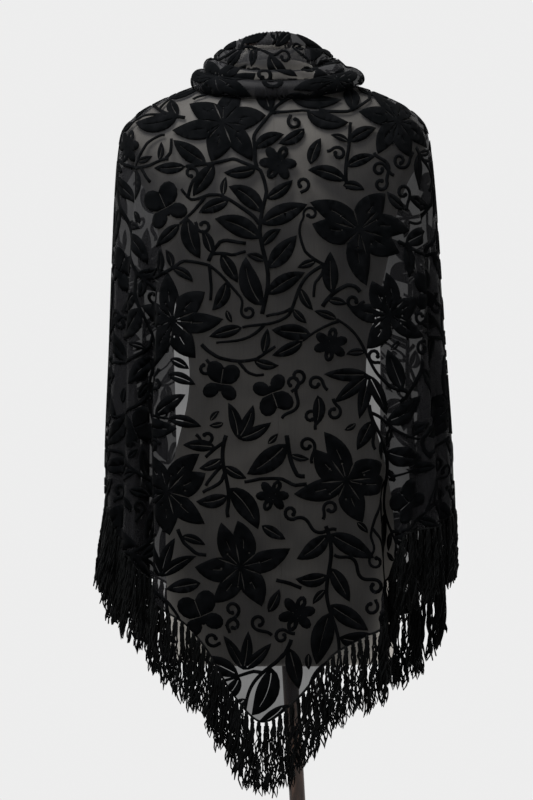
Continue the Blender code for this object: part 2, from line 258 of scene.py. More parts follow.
# Level sections of the draped cloth
# height, half width, back depth, front depth, squareness, angle from the back to where the front
# begins to turn in, angle that the front edge turns in beyond it
DRAPE = [
    (1.437, 0.100, 0.072, 0.056, 2.0, 150, 0),
    (1.428, 0.127, 0.080, 0.062, 2.0, 149, 0),
    (1.415, 0.158, 0.088, 0.069, 2.0, 147, 0),
    (1.397, 0.189, 0.096, 0.078, 2.1, 145, 0),
    (1.373, 0.208, 0.105, 0.089, 2.2, 143, 0),
    (1.345, 0.213, 0.113, 0.101, 2.3, 142, 0),
    (1.285, 0.218, 0.124, 0.117, 2.5, 141, 2),
    (1.215, 0.222, 0.131, 0.130, 2.6, 140, 5),
    (1.080, 0.2285, 0.132, 0.138, 2.8, 139, 9),
    (0.910, 0.237, 0.130, 0.140, 2.9, 138, 13),
    (0.700, 0.240, 0.130, 0.142, 2.9, 138, 12),
    (0.540, 0.240, 0.128, 0.142, 2.9, 138, 12),
]
TURN_IN_POWER = 8

# How fast a fold's wandering turns with height, and by how much it differs from fold to fold
DRIFT_TURNS = 17.0
DRIFT_SHIFT = 2.1

# Folds and creases that hang down the cloth. The station is the distance round it from the middle
# of the back, - to the wearer's left, and drift is how far the fold wanders to either side.
# station, half width, depth inwards, begins, full, drift
HANGING_FOLDS = [
    (-0.467, 0.022, 0.026, 1.20, 0.90, 0.002),
    (-0.415, 0.023, 0.040, 1.33, 0.94, 0.002),
    (-0.366, 0.023, 0.044, 1.30, 0.90, 0.002),
    (-0.318, 0.022, 0.038, 1.34, 0.96, 0.002),
    (-0.272, 0.014, 0.005, 1.36, 1.10, 0.004),
    (-0.232, 0.018, 0.009, 1.37, 1.29, 0.003),
    (-0.188, 0.019, 0.028, 1.26, 1.02, 0.002),
    (-0.128, 0.015, 0.003, 0.92, 0.72, 0.004),
    (-0.073, 0.022, 0.006, 0.84, 0.66, 0.004),
    (-0.020, 0.012, 0.002, 0.76, 0.62, 0.003),
    (0.022, 0.010, 0.0015, 0.76, 0.64, 0.003),
    (0.065, 0.022, 0.006, 0.84, 0.66, 0.004),
    (0.112, 0.013, 0.003, 0.96, 0.78, 0.003),
    (0.150, 0.019, 0.036, 1.04, 0.82, 0.002),
    (0.191, 0.016, 0.008, 1.10, 0.98, 0.003),
    (0.235, 0.018, 0.009, 1.37, 1.25, 0.003),
    (0.275, 0.014, 0.005, 1.34, 1.02, 0.004),
    (0.320, 0.022, 0.038, 1.34, 0.96, 0.002),
    (0.368, 0.023, 0.044, 1.30, 0.90, 0.002),
    (0.417, 0.023, 0.040, 1.33, 0.94, 0.002),
    (0.467, 0.022, 0.026, 1.20, 0.90, 0.002),
]

# Height of the hem at each station
# station, height
HEM = [
    (-0.510, 0.714), (-0.470, 0.748), (-0.410, 0.786), (-0.350, 0.836), (-0.300, 0.860), (-0.262, 0.862),
    (-0.231, 0.812), (-0.207, 0.794), (-0.197, 0.778), (-0.192, 0.770), (-0.184, 0.767), (-0.179, 0.758),
    (-0.170, 0.738), (-0.129, 0.710), (-0.101, 0.678), (-0.065, 0.615), (-0.027, 0.581), (0.017, 0.610),
    (0.071, 0.672), (0.110, 0.694), (0.133, 0.704), (0.141, 0.736), (0.146, 0.762), (0.154, 0.768),
    (0.159, 0.792), (0.168, 0.828), (0.220, 0.838), (0.285, 0.858), (0.340, 0.850), (0.360, 0.836),
    (0.374, 0.830), (0.392, 0.778), (0.410, 0.744), (0.424, 0.738), (0.445, 0.712), (0.470, 0.705),
    (0.510, 0.708),
]


def smooth(low, high, value):
    """0 at low, 1 at high, level at both ends."""
    t = np.clip((value - low) / (high - low), 0.0, 1.0)
    return t * t * (3.0 - 2.0 * t)


def between(table, keys):
    """Columns of a table at each key, on a curve through its rows that never overshoots them."""
    rows = np.array(sorted(table))
    knots, values = rows[:, 0], rows[:, 1:]
    spans = np.diff(knots)
    chords = np.diff(values, axis=0) / spans[:, None]
    product = chords[:-1] * chords[1:]
    total = np.where(product > 0, chords[:-1] + chords[1:], 1.0)
    slopes = np.vstack((chords[:1], np.where(product > 0, 2 * product / total, 0.0), chords[-1:]))
    keys = np.clip(keys, knots[0], knots[-1])
    at = np.clip(np.searchsorted(knots, keys, side="right") - 1, 0, len(spans) - 1)
    span = spans[at][:, None]
    t = (keys - knots[at])[:, None] / span
    found = (
        (2 * t ** 3 - 3 * t ** 2 + 1) * values[at] + (t ** 3 - 2 * t ** 2 + t) * span * slopes[at]
        + (3 * t ** 2 - 2 * t ** 3) * values[at + 1] + (t ** 3 - t ** 2) * span * slopes[at + 1]
    )
    return found.T


def leaning(x, y, height):
    """Points beside the form's middle, moved with the lean that lowers the left shoulder a little."""
    sink = FORM_LEAN * x * smooth(SINK_BEGINS, SINK_FULL, height)
    return np.stack((FORM_MIDDLE_X + x + FORM_LEAN * (FORM_LEAN_HEIGHT - height), y, height + sink), -1)


def plain_cloth(share, height):
    """Points of the cloth without folds. A share is the way from the back's middle to a front edge."""
    half_width, back, front, squareness, straight, turn_in = between(DRAPE, height)
    angle = np.radians(share * straight + np.sign(share) * np.abs(share) ** TURN_IN_POWER * turn_in)
    sine, cosine = np.sin(angle), np.cos(angle)
    depth = np.where(cosine > 0, back, front)
    x = np.sign(sine) * np.abs(sine) ** (2 / squareness) * half_width
    y = -np.sign(cosine) * np.abs(cosine) ** (2 / squareness) * depth
    return leaning(x, y, height)


def out_of_cloth(share, height):
    """Level directions out of the cloth without its folds."""
    step = 0.004
    along = plain_cloth(np.minimum(share + step, 1.0), height)
    along -= plain_cloth(np.maximum(share - step, -1.0), height)
    out = np.stack((along[:, 1], -along[:, 0], np.zeros(len(share))), 1)
    return out / np.linalg.norm(out, axis=1)[:, None]


def run_along(points):
    """Distance along a line of points."""
    return np.concatenate(((0.0,), np.cumsum(np.linalg.norm(np.diff(points, axis=0), axis=1))))


ring_shares = np.linspace(0.0, 1.0, RING_STEPS)
ring_run = run_along(plain_cloth(ring_shares, np.full(RING_STEPS, STATION_HEIGHT)))


def station_of(share):
    return np.sign(share) * np.interp(np.abs(share), ring_shares, ring_run)


def cloth_point(share, height):
    """Points of the draped cloth."""
    station = station_of(share)
    depth = np.zeros(len(share))
    for number, (place, half_width, full_depth, begins, full, drift) in enumerate(HANGING_FOLDS):
        grown = smooth(begins, full, height)
        aside = drift * np.sin(height * DRIFT_TURNS + number * DRIFT_SHIFT) * grown
        offset = np.clip((station - place - aside) / half_width, -1.0, 1.0)
        depth += full_depth * np.cos(offset * math.pi / 2) ** 2 * grown
    return plain_cloth(share, height) - out_of_cloth(share, height) * depth[:, None]


def hem_height(share):
    return between(HEM, station_of(share))[0]


hem_shares = np.linspace(-1.0, 1.0, HEM_STEPS)
hem_points = cloth_point(hem_shares, hem_height(hem_shares))
hem_run = run_along(hem_points)


def chiffon():
    """Sheer black weave, a little closer in slubs, that lets about a fifth of the light through."""
    material, place = new_finish("black_chiffon", Roughness=0.6, Sheen_Weight=0.008,
                                 Sheen_Roughness=0.4, Specular_IOR_Level=0.04)
    slubs = place.node("Mapping", {"Vector": place, "Scale": (1.0, 1.0, 0.05)})
    threads = slubs.noise(420.0, 3.0)
    clouds = place.noise(22.0, 2.0)
    colour = threads.tones((0.30, (0.0018, 0.0018, 0.0021)), (0.75, (0.0040, 0.0040, 0.0046)))
    relief = threads.relief(0.15, 0.0003)
    feed(material, Base_Color=colour, Alpha=0.715 + threads * 0.06 + clouds * 0.10, Normal=relief)
    return material


def set_points(verts, points):
    for vert, point in zip(verts, points):
        vert.co = point


def grid(columns, rows):
    """Flat grid and its corners, which run from -1 to 1 both ways."""
    shape = bmesh.new()
    bmesh.ops.create_grid(shape, x_segments=columns, y_segments=rows, size=1.0)
    return shape, np.array([vert.co[:2] for vert in shape.verts])


def ground_cloth():
    """Grid whose columns are even along the hem and whose rows run from the neck down to it."""
    shape, flat = grid(GROUND_COLUMNS, GROUND_ROWS)
    share = np.interp((flat[:, 0] + 1) / 2 * hem_run[-1], hem_run, hem_shares)
    down = ((1 - flat[:, 1]) / 2) ** ROW_SPREAD
    set_points(shape.verts, cloth_point(share, GROUND_TOP - (GROUND_TOP - hem_height(share)) * down))
    return shape


chiffon_finish = chiffon()
ground = add_piece("shawl_ground", ground_cloth(), chiffon_finish, "burnout_velvet",
                   "shawl_back", "shawl_left_front", "shawl_right_front")


# The shawl's velvet
# The pile that the acid left standing on the ground: lilies, sweet peas, small blossoms, leafy
# sprays and curls. It is black rayon about a millimetre deep, and slits in it show the ground.
PILE_DEPTH = 0.0010
PILE_FOOT = 0.0003
PILE_STEP = 0.007
DESIGN_SEED = 7
FILL_TRIES = 9000
STEM_STEP = 0.005
LILY_STEM_START, LILY_STEM_LENGTH, LILY_STEM_WIDTH = 0.42, 0.16, 0.0052

# Flowers of the design in the flat, in millimetres round the back from its middle and above the floor
# across, up, turn in degrees, size
LILIES = [
    (-69, 1380, 20, 125), (111, 1232, 75, 135), (172, 1385, 40, 115), (150, 1120, 10, 105),
    (-139, 1112, 50, 118), (-150, 885, 15, 122), (-54, 786, 70, 120), (88, 900, 35, 125),
    (-300, 1290, 10, 118), (-330, 1020, 40, 120), (-290, 820, 70, 110), (-420, 1180, 0, 118),
    (-500, 900, 30, 115), (290, 1300, 25, 118), (270, 1000, 60, 120), (400, 1180, 15, 118),
    (330, 820, 0, 110), (480, 950, 45, 115), (560, 760, 20, 110), (-560, 780, 10, 110),
]
SWEET_PEAS = [
    (-148, 1262, 115, 66), (-76, 1028, 80, 58), (-8, 1016, -70, 58), (-108, 720, 110, 66),
    (-240, 1180, 60, 60), (215, 1150, 100, 60), (-230, 970, 20, 60), (210, 870, 140, 60),
    (370, 1330, 60, 60), (-400, 1340, 60, 60), (-450, 1020, 60, 60), (430, 1060, 20, 60),
]
BLOSSOMS = [
    (4, 1322, 0, 50), (20, 724, 10, 50), (-215, 1350, 0, 48), (240, 1390, 0, 46),
    (340, 1110, 0, 48), (-380, 910, 0, 48), (70, 1080, 20, 46), (-10, 880, 5, 44),
]

# Groups of long leaves from one point
# across, up, heading in degrees, number of leaves, length
LEAF_GROUPS = [
    (40, 1290, 60, 5, 70), (-120, 990, -60, 5, 74), (-30, 800, 110, 4, 64), (120, 1040, -120, 4, 60),
    (185, 1300, -80, 4, 62), (-190, 1290, 100, 4, 56), (30, 940, 30, 4, 60), (-52, 650, 75, 3, 52),
    (-150, 1012, -80, 5, 64), (158, 915, 75, 4, 62), (-160, 772, 85, 3, 56), (150, 1010, 80, 4, 60),
    (-360, 1150, 90, 5, 66), (370, 1230, -90, 5, 66), (-470, 1000, 60, 4, 60), (460, 1120, 120, 4, 60),
    (-210, 900, -90, 4, 56), (250, 920, 90, 4, 60),
]

# Main stems of the design
# across, up, heading in degrees, length, width
STEMS = [
    (10, 1000, 100, 430, 6.4), (-20, 1120, 80, 300, 6.0), (60, 1130, 60, 260, 5.8),
    (-90, 1190, 70, 200, 5.4), (20, 1330, 150, 160, 5.2), (60, 1400, -10, 190, 5.4),
    (10, 960, -80, 380, 6.2), (-70, 960, -110, 260, 5.6), (60, 840, -70, 240, 5.6),
    (-130, 1150, -80, 220, 5.2), (120, 1000, -85, 200, 5.2), (-250, 1320, -90, 420, 5.8),
    (250, 1320, -90, 420, 5.8), (-340, 1280, -95, 420, 5.8), (340, 1280, -85, 420, 5.8),
    (-420, 1120, -95, 380, 5.4), (430, 1100, -85, 380, 5.4), (-200, 1040, -90, 300, 5.4),
    (200, 1060, -90, 300, 5.4), (12, 690, -105, 130, 5.6), (60, 700, -160, 80, 5.0),
    (-60, 700, -50, 90, 5.0),
]


def turned(points, place, heading):
    """Outline turned to its heading and moved to its place."""
    cosine, sine = math.cos(heading), math.sin(heading)
    return np.array(points) @ np.array(((cosine, sine), (-sine, cosine))) + np.array(place)


def towards(heading):
    return np.array((math.cos(heading), math.sin(heading)))


def leaf_outline(length, width, bend, steps=9):
    """Pointed leaf from its stalk along +x, bent along its midrib, and the slit of the midrib."""
    upper, lower, rib_upper, rib_lower = [], [], [], []
    point, heading = np.zeros(2), 0.0
    for i in range(steps + 1):
        t = i / steps
        half = width / 2 * max(math.sin(math.pi * t ** 0.85), 0.0) ** 0.85
        side = towards(heading + math.pi / 2)
        upper.append(point + side * half)
        if 0 < i < steps:
            lower.append(point - side * half)
        if 0.1 < t < 0.8:
            rib_upper.append(point + side * 0.0006 * (1.2 - t))
            rib_lower.append(point - side * 0.0006 * (1.2 - t))
        heading += bend / steps
        point = point + towards(heading) * length / steps
    return upper + lower[::-1], rib_upper + rib_lower[::-1]


def round_outline(centre, radius, sides=8, stretch=1.0, heading=0.0):
    ring = [towards(math.tau * i / sides) * (radius * stretch, radius) for i in range(sides)]
    return turned(ring, centre, heading)


def stroke_outlines(points, widths):
    """A stroke along a line of points, in pieces so short that none crosses itself."""
    points = np.array(points)
    along = np.gradient(points, axis=0)
    along /= np.linalg.norm(along, axis=1)[:, None]
    side = np.stack((-along[:, 1], along[:, 0]), 1) * np.array(widths)[:, None] / 2
    upper, lower = points + side, points - side
    pieces = []
    for i in range(0, len(points) - 1, 3):
        j = min(i + 3, len(points) - 1)
        pieces.append(np.vstack((upper[i:j + 1], lower[i:j + 1][::-1])))
    return pieces


def curl_line(length, way, step=0.0035, winding=0.040):
    """Line along +x that runs wavy and then winds into a curl."""
    points, heading, point = [], 0.0, np.zeros(2)
    for i in range(int((length + winding) / step) + 1):
        points.append(point)
        run = i * step
        if run < length:
            heading -= way * 0.30 * math.cos(run / 0.0085)
        else:
            heading += way * step / (0.0100 - 0.0058 * (run - length) / winding)
        point = point + towards(heading) * step
    return points


def holds(outline, points):
    """Which points lie in an outline: those with an odd number of its sides to their right."""
    a = np.array(outline)
    b = np.roll(a, -1, 0)
    rise = np.where(b[:, 1] == a[:, 1], 1.0, b[:, 1] - a[:, 1])
    x, y = points[..., 0, None], points[..., 1, None]
    crosses = (a[:, 1] > y) != (b[:, 1] > y)
    return (crosses & (x < (b[:, 0] - a[:, 0]) * (y - a[:, 1]) / rise + a[:, 0])).sum(-1) % 2 == 1


class Layout:
    """Outlines of pile and of slits in it, kept clear of one another on a grid of cells."""

    CELL = 0.002
    CLEAR = 1

    def __init__(self, edge):
        self.edge = edge
        self.low = edge.min(0)
        self.size = np.ceil((edge.max(0) - self.low) / self.CELL).astype(int)
        self.middles = self.low + (np.stack(np.indices(self.size), -1) + 0.5) * self.CELL
        self.cloth = np.array([holds(edge, column) for column in self.middles])
        self.taken = np.zeros(self.size, bool)
        self.near = np.zeros(self.size, bool)
        self.pile, self.slits = [], []

    def cover(self, outline):
        """Window of cells round an outline and which of them lie in it, or None outside the layout."""
        outline = np.array(outline)
        low = np.maximum(np.floor((outline.min(0) - self.low) / self.CELL).astype(int), 0)
        high = np.minimum(np.ceil((outline.max(0) - self.low) / self.CELL).astype(int) + 1, self.size)
        if (low >= high).any():
            return None
        window = slice(low[0], high[0]), slice(low[1], high[1])
        return *window, holds(outline, self.middles[window])

    def free(self, outlines):
        for outline in outlines:
            found = self.cover(outline)
            if found is None or not found[2].any() or (self.near[found[:2]] & found[2]).any():
                return False
        return True

    def blocked(self, point):
        cell = np.floor((np.array(point) - self.low) / self.CELL).astype(int)
        return (cell < 0).any() or (cell >= self.size).any() or bool(self.near[tuple(cell)])

    def put(self, outlines, slits=()):
        self.pile += [np.array(outline) for outline in outlines]
        self.slits += [np.array(slit) for slit in slits]
        for found in filter(None, map(self.cover, outlines)):
            self.taken[found[:2]] |= found[2]
            cells = np.argwhere(found[2]) + (found[0].start, found[1].start)
            for dx in range(-self.CLEAR, self.CLEAR + 1):
                for dy in range(-self.CLEAR, self.CLEAR + 1):
                    moved = np.clip(cells + (dx, dy), 0, self.size - 1)
                    self.near[moved[:, 0], moved[:, 1]] = True


def lily(layout, place, turn, size, chance):
    """Six pointed petals round a middle, parted by sheer lines, with stamens and their dots."""
    outlines, slits = [round_outline(place, size * 0.09, 10)], []
    for k in range(6):
        heading = turn + math.tau * k / 6 + chance.uniform(-0.12, 0.12)
        length = size * (0.50, 0.56)[k % 2] * chance.uniform(0.92, 1.08)
        bend = chance.choice((-1, 1)) * chance.uniform(0.25, 0.8)
        petal, rib = leaf_outline(length, size * (0.28, 0.24)[k % 2], bend, 10)
        outlines.append(turned(petal, place, heading))
        slits.append(turned(rib[2:5] + rib[-5:-2], place, heading))
        parting = [(0.003, 0.0), (size * 0.16, 0.0010), (size * 0.27, 0.0), (size * 0.16, -0.0010)]
        slits.append(turned(parting, place, turn + math.tau * (k + 0.5) / 6))
        reach = size * chance.uniform(0.14, 0.22)
        if k % 2:
            stamen = [(0.006, 0.0005), (reach, 0.0005), (reach, -0.0005), (0.006, -0.0005)]
            slits.append(turned(stamen, place, heading + 0.15))
        dot = turned([(reach + 0.002, 0.0)], place, heading + (0.15 if k % 2 else -0.2))[0]
        slits.append(round_outline(dot, 0.0014, 6))
    layout.put(outlines, slits)


def sweet_pea(layout, place, turn, size, chance):
    """Flower of two broad round wings, two smaller ones and a short body."""
    outlines, slits = [round_outline(place, size * 0.12, 8, 1.5, turn)], []
    wings = (0.62, 0.30, 0.21), (-0.62, 0.30, 0.21), (2.25, 0.27, 0.165), (-2.25, 0.27, 0.165)
    for angle, reach, radius in wings:
        heading = turn + angle + chance.uniform(-0.1, 0.1)
        centre = turned([(size * reach, 0.0)], place, heading)[0]
        outlines.append(round_outline(centre, size * radius, 12, 1.22, heading))
    parting = [(0.0, 0.0004), (size * 0.34, 0.0007), (size * 0.34, -0.0007), (0.0, -0.0004)]
    for angle in (0.0, 1.5, -1.5):
        slits.append(turned(parting, place, turn + angle))
    layout.put(outlines, slits)


def blossom(layout, place, turn, size, chance):
    """Small blossom of six round petals, two of them open in the middle."""
    outlines, slits = [round_outline(place, size * 0.11, 8)], []
    for k in range(6):
        heading = turn + math.tau * k / 6 + chance.uniform(-0.08, 0.08)
        centre = turned([(size * 0.29, 0.0)], place, heading)[0]
        outlines.append(round_outline(centre, size * 0.145, 10, 1.5, heading))
        if k in (1, 4):
            half = size * 0.035
            eye = [(size * 0.24, 0.0), (size * 0.33, half), (size * 0.40, 0.0), (size * 0.33, -half)]
            slits.append(turned(eye, place, heading))
    layout.put(outlines, slits)


def fan(heading, count):
    """Headings of leaves that fan out to both sides of one."""
    return [heading + (k - (count - 1) / 2) * 0.68 for k in range(count)]


def put_leaves(layout, root, headings, length, width, bend):
    """Leaves that grow from one point, if the ground round all but their roots is free."""
    leaves, ribs, far_parts = [], [], []
    for heading in headings:
        leaf, rib = leaf_outline(length, width, bend)
        leaf = turned(leaf, root, heading)
        far = np.linalg.norm(leaf - root, axis=1)
        leaves.append(leaf)
        ribs.append(turned(rib, root, heading))
        far_parts.append(leaf[far > 0.3 * far.max()])
    if not layout.free(far_parts):
        return False
    layout.put(leaves, ribs)
    return True


def wander(layout, start, heading, length, chance):
    """Line that sways through free ground and turns aside from what is in its way."""
    phase, sway = chance.uniform(0, math.tau), chance.uniform(0.15, 0.30)
    points = [np.array(start)]
    while (len(points) - 1) * STEM_STEP < length:
        run = (len(points) - 1) * STEM_STEP
        wish = heading + sway * math.sin(run / 0.021 + phase)
        for turn in (0.0, 0.22, -0.22, 0.45, -0.45, 0.7, -0.7):
            ahead = [points[-1] + towards(wish + turn) * STEM_STEP * k for k in (1, 2, 3, 4)]
            if run < 0.006 or not any(map(layout.blocked, ahead)):
                break
        else:
            break
        heading = wish + turn * 0.8 if turn else heading + (wish - heading) * 0.35
        points.append(points[-1] + towards(heading) * STEM_STEP)
    return points


def put_curl(layout, root, heading, lengths, widths, chance):
    """Wavy curl with a drop at its end, if the ground is free."""
    for way in (1, -1):
        line = turned(curl_line(chance.uniform(*lengths), way), root, heading)
        pieces = stroke_outlines(line, np.linspace(*widths, len(line)))
        if layout.free(pieces[3:]):
            layout.put(pieces + [round_outline(line[-1], 0.0031)])
            break


def spray(layout, start, heading, length, width, chance, forks):
    """Stem with leaves and forks at both sides, and leaves or a curl at its end."""
    points = wander(layout, start, heading, length, chance)
    if len(points) < 5:
        return
    widths = width * (1 - 0.3 * np.arange(len(points)) * STEM_STEP / length)
    layout.put(stroke_outlines(points, widths))
    side, at, branches = chance.choice((-1, 1)), 2, []
    while at < len(points) - 1:
        base = math.atan2(*(points[at + 1] - points[at - 1])[::-1])
        for turn in (side, -side) if chance.random() < 0.45 else (side,):
            angle = base + turn * chance.uniform(0.6, 1.05)
            root = points[at] + towards(angle) * width * 0.3
            if chance.random() < 0.25:
                branches.append((root, angle))
                continue
            for size in (chance.uniform(0.050, 0.072), 0.044, 0.034, 0.026):
                bend = turn * chance.uniform(-0.9, 0.9)
                if put_leaves(layout, root, [angle], size, size * chance.uniform(0.36, 0.44), bend):
                    break
        side = -side
        at += chance.randint(2, 4)
    base = math.atan2(*(points[-1] - points[-2])[::-1])
    ends = [(fan(base, 5), 0.056), (fan(base, 3), 0.052), ([base], 0.046), ([base], 0.032)]
    for headings, size in ends[chance.choice((0, 1, 2)):]:
        if put_leaves(layout, points[-1], headings, size, size * 0.36, chance.uniform(-0.5, 0.5)):
            break
    else:
        put_curl(layout, points[-1], base, (0.006, 0.02), (widths[-1], 0.0044), chance)
    for root, angle in branches if forks else ():
        spray(layout, root, angle, length * chance.uniform(0.3, 0.5), width * 0.88, chance, forks - 1)


def fill_gaps(layout, chance, tries):
    """Loose leaf groups, then leaves, curls and small leaves, wherever the ground is still open."""
    for attempt in range(tries):
        place = layout.low + np.array((chance.random(), chance.random())) * layout.size * layout.CELL
        heading, bend = chance.uniform(0, math.tau), chance.uniform(-0.8, 0.8)
        if layout.blocked(place):
            continue
        part = attempt / tries
        if part < 0.15:
            put_leaves(layout, place, fan(heading, chance.choice((3, 4, 5))), 0.050, 0.017, bend)
        elif part < 0.30:
            put_curl(layout, place, heading, (0.030, 0.075), (0.0044, 0.0050), chance)
        elif part < 0.55:
            size = chance.uniform(0.034, 0.052)
            put_leaves(layout, place, [heading], size, size * chance.uniform(0.36, 0.44), bend)
        elif part < 0.80:
            put_curl(layout, place, heading, (0.004, 0.030), (0.0044, 0.0048), chance)
        else:
            size = chance.uniform(0.018, 0.032)
            put_leaves(layout, place, [heading], size, size * 0.44, bend)


# Distances round the cloth and up it, folds included, so that the design isn't stretched by them.
# Below this height the cloth hangs, and the distance up it is the height.
HANGS_BELOW = 1.20
LEVELS = np.linspace(0.50, GROUND_TOP, 190)
TURNS = np.linspace(-1.0, 1.0, 1601)
ACROSS_LOW, ACROSS_HIGH, ACROSS_STEPS = -0.85, 0.85, 1701
NEARING_ROUNDS, NEARING_SHARE = 24, 0.35
across_even = np.linspace(ACROSS_LOW, ACROSS_HIGH, ACROSS_STEPS)
level_lines = np.array([cloth_point(TURNS, np.full(len(TURNS), level)) for level in LEVELS])
across_table = np.array([run_along(line) for line in level_lines])
across_table -= across_table[:, [len(TURNS) // 2]]
steps_up = np.linalg.norm(np.diff(level_lines, axis=0), axis=2)
steps_up[LEVELS[1:] < HANGS_BELOW] = LEVELS[1] - LEVELS[0]
climb_table = LEVELS[0] + np.vstack((np.zeros(len(TURNS)), np.cumsum(steps_up, axis=0)))
turn_table = np.array([np.interp(across_even, row, TURNS) for row in across_table])


def lattice(table, rows, columns):
    """Values of a table between its rows and columns."""
    i = np.clip(rows.astype(int), 0, table.shape[0] - 2)
    j = np.clip(columns.astype(int), 0, table.shape[1] - 2)
    a, b = rows - i, columns - j
    upper = table[i, j] * (1 - b) + table[i, j + 1] * b
    lower = table[i + 1, j] * (1 - b) + table[i + 1, j + 1] * b
    return upper * (1 - a) + lower * a


def level_row(height):
    return np.clip((height - LEVELS[0]) / (LEVELS[1] - LEVELS[0]), 0, len(LEVELS) - 1)


def on_cloth(flat):
    """Shares and heights of points of the flat design, found by nearing them step by step."""
    column = (flat[:, 0] - ACROSS_LOW) / (ACROSS_HIGH - ACROSS_LOW) * (ACROSS_STEPS - 1)
    height = np.clip(flat[:, 1], LEVELS[0], GROUND_TOP)
    for _ in range(NEARING_ROUNDS):
        share = lattice(turn_table, level_row(height), column)
        climb = lattice(climb_table, level_row(height), (share + 1) / 2 * (len(TURNS) - 1))
        height = np.clip(height + (flat[:, 1] - climb) * NEARING_SHARE, LEVELS[0], GROUND_TOP)
    return share, height


def in_flat(share, height):
    column = (share + 1) / 2 * (len(TURNS) - 1)
    row = level_row(height)
    return np.stack((lattice(across_table, row, column), lattice(climb_table, row, column)), 1)


def unrolled_edge():
    """Outline of the cloth in the flat: left front edge, hem, right front edge and neck."""
    hem = np.interp(np.linspace(0, hem_run[-1], 320), hem_run, hem_shares)
    down = np.linspace(GROUND_TOP, hem_height(hem)[0], 90)[:-1]
    up = np.linspace(hem_height(hem)[-1], GROUND_TOP, 90)[1:]
    across = np.linspace(1.0, -1.0, 120)[1:-1]
    return np.vstack((
        in_flat(np.full(len(down), -1.0), down), in_flat(hem, hem_height(hem)),
        in_flat(np.full(len(up), 1.0), up), in_flat(across, np.full(len(across), GROUND_TOP)),
    ))


def covered(outlines, points):
    """Which points lie in any of the outlines."""
    found = np.zeros(len(points), bool)
    for outline in outlines:
        near = np.nonzero(((points > outline.min(0)) & (points < outline.max(0))).all(1))[0]
        for part in np.array_split(near, 1 + len(near) // 2000):
            found[part] |= holds(outline, points[part])
    return found


def flat_triangles(layout, step):
    """Corners and triangles of the pile in the flat, cut off at the cloth's edge and at the slits."""
    corners, sides = [], []
    for outline in [layout.edge] + layout.pile + layout.slits:
        ring = np.arange(len(outline)) + len(corners)
        sides += zip(ring.tolist(), np.roll(ring, -1).tolist())
        corners += [tuple(point) for point in outline]
    stride = round(step / layout.CELL)
    for i in range(0, layout.size[0], stride):
        for j in range((i // stride) % 2, layout.size[1], stride):
            if layout.taken[i, j] and layout.cloth[i, j]:
                corners.append(tuple(layout.middles[i, j]))
    found = delaunay_2d_cdt([Vector(corner) for corner in corners], sides, [], 0, 0.00002, False)
    corners, triangles = np.array([tuple(corner) for corner in found[0]]), np.array(found[2])
    middles = corners[triangles].mean(1)
    kept = covered([layout.edge], middles) & covered(layout.pile, middles) & ~covered(layout.slits, middles)
    return corners, triangles[kept].tolist()


def pile_on(corners, triangles, surface):
    """Pile in the flat laid on the cloth. The surface gives points and outward directions for corners."""
    used = sorted({corner for face in triangles for corner in face})
    number = {corner: i for i, corner in enumerate(used)}
    points, normals = surface(corners[used])
    shape = bmesh.new()
    verts = [shape.verts.new(point) for point in points + normals * PILE_FOOT]
    for face in triangles:
        shape.faces.new([verts[number[corner]] for corner in face])
    shape.normal_update()
    facing = 0.0
    for face, (first, *_) in zip(shape.faces, triangles):
        facing += face.normal.dot(Vector(normals[number[first]]))
    if facing < 0:
        bmesh.ops.reverse_faces(shape, faces=shape.faces)
    return shape


def with_normals(point, across, up, across_step, up_step, highest):
    """Points of a surface that is a function of two ways over it, and directions out of it."""
    along = point(np.minimum(across + across_step, 1.0), up)
    along -= point(np.maximum(across - across_step, -1.0), up)
    rise = point(across, np.minimum(up + up_step, highest)) - point(across, np.maximum(up - up_step, 0.0))
    out = np.cross(along, rise)
    return point(across, up), out / np.linalg.norm(out, axis=1)[:, None]


def draped_surface(flat):
    """Points of the draped cloth and directions out of it, folds included, for corners in the flat."""
    return with_normals(cloth_point, *on_cloth(flat), 0.0012, 0.001, GROUND_TOP)


def velvet():
    """Deep black pile: it takes in nearly all light, with a faint painted sheen where its nap is brushed
    aside.
    """
    material, place = new_finish("black_velvet_pile", Sheen_Weight=0.004, Sheen_Roughness=0.5,
                                 Specular_IOR_Level=0.005)
    brushed_nap_and_painted_sheen = place.noise(45.0, 3.0)
    tufts = place.noise(1400.0, 2.0)
    # The colour is a little lighter in the brushed patches, which is painted sheen; the roughness follows the
    # same patches of nap.
    colour = brushed_nap_and_painted_sheen.tones((0.35, (0.0004, 0.0005, 0.0006)), (0.70, (0.0012, 0.0013, 0.0015)))
    relief = tufts.relief(0.5, 0.0004)
    feed(material, Base_Color=colour, Roughness=0.85 + brushed_nap_and_painted_sheen * 0.15, Normal=relief)
    return material


def raise_pile(piece):
    pile = piece.modifiers.new("Pile", "SOLIDIFY")
    pile.thickness = PILE_DEPTH
    pile.offset = 1.0


def draw_design(layout, chance):
    """Flowers first, then the stems that wind between them, then what fills the gaps."""
    for draw, table in ((lily, LILIES), (sweet_pea, SWEET_PEAS), (blossom, BLOSSOMS)):
        for across, up, turn, size in table:
            draw(layout, (across / 1000, up / 1000), math.radians(turn), size / 1000, chance)
    for across, up, heading, count, length in LEAF_GROUPS:
        put_leaves(layout, np.array((across, up)) / 1000, fan(math.radians(heading), count),
                   length / 1000, length / 1000 * 0.30, chance.uniform(-0.5, 0.5))
    for across, up, heading, length, width in STEMS:
        start = across / 1000, up / 1000
        spray(layout, start, math.radians(heading), length / 1000, width / 1000, chance, 2)
    for across, up, turn, size in LILIES:
        for third in range(3):
            heading = math.radians(turn + 30 + 120 * third)
            start = np.array((across, up)) / 1000 + towards(heading) * size / 1000 * LILY_STEM_START
            spray(layout, start, heading, LILY_STEM_LENGTH, LILY_STEM_WIDTH, chance, 1)
    fill_gaps(layout, chance, FILL_TRIES)


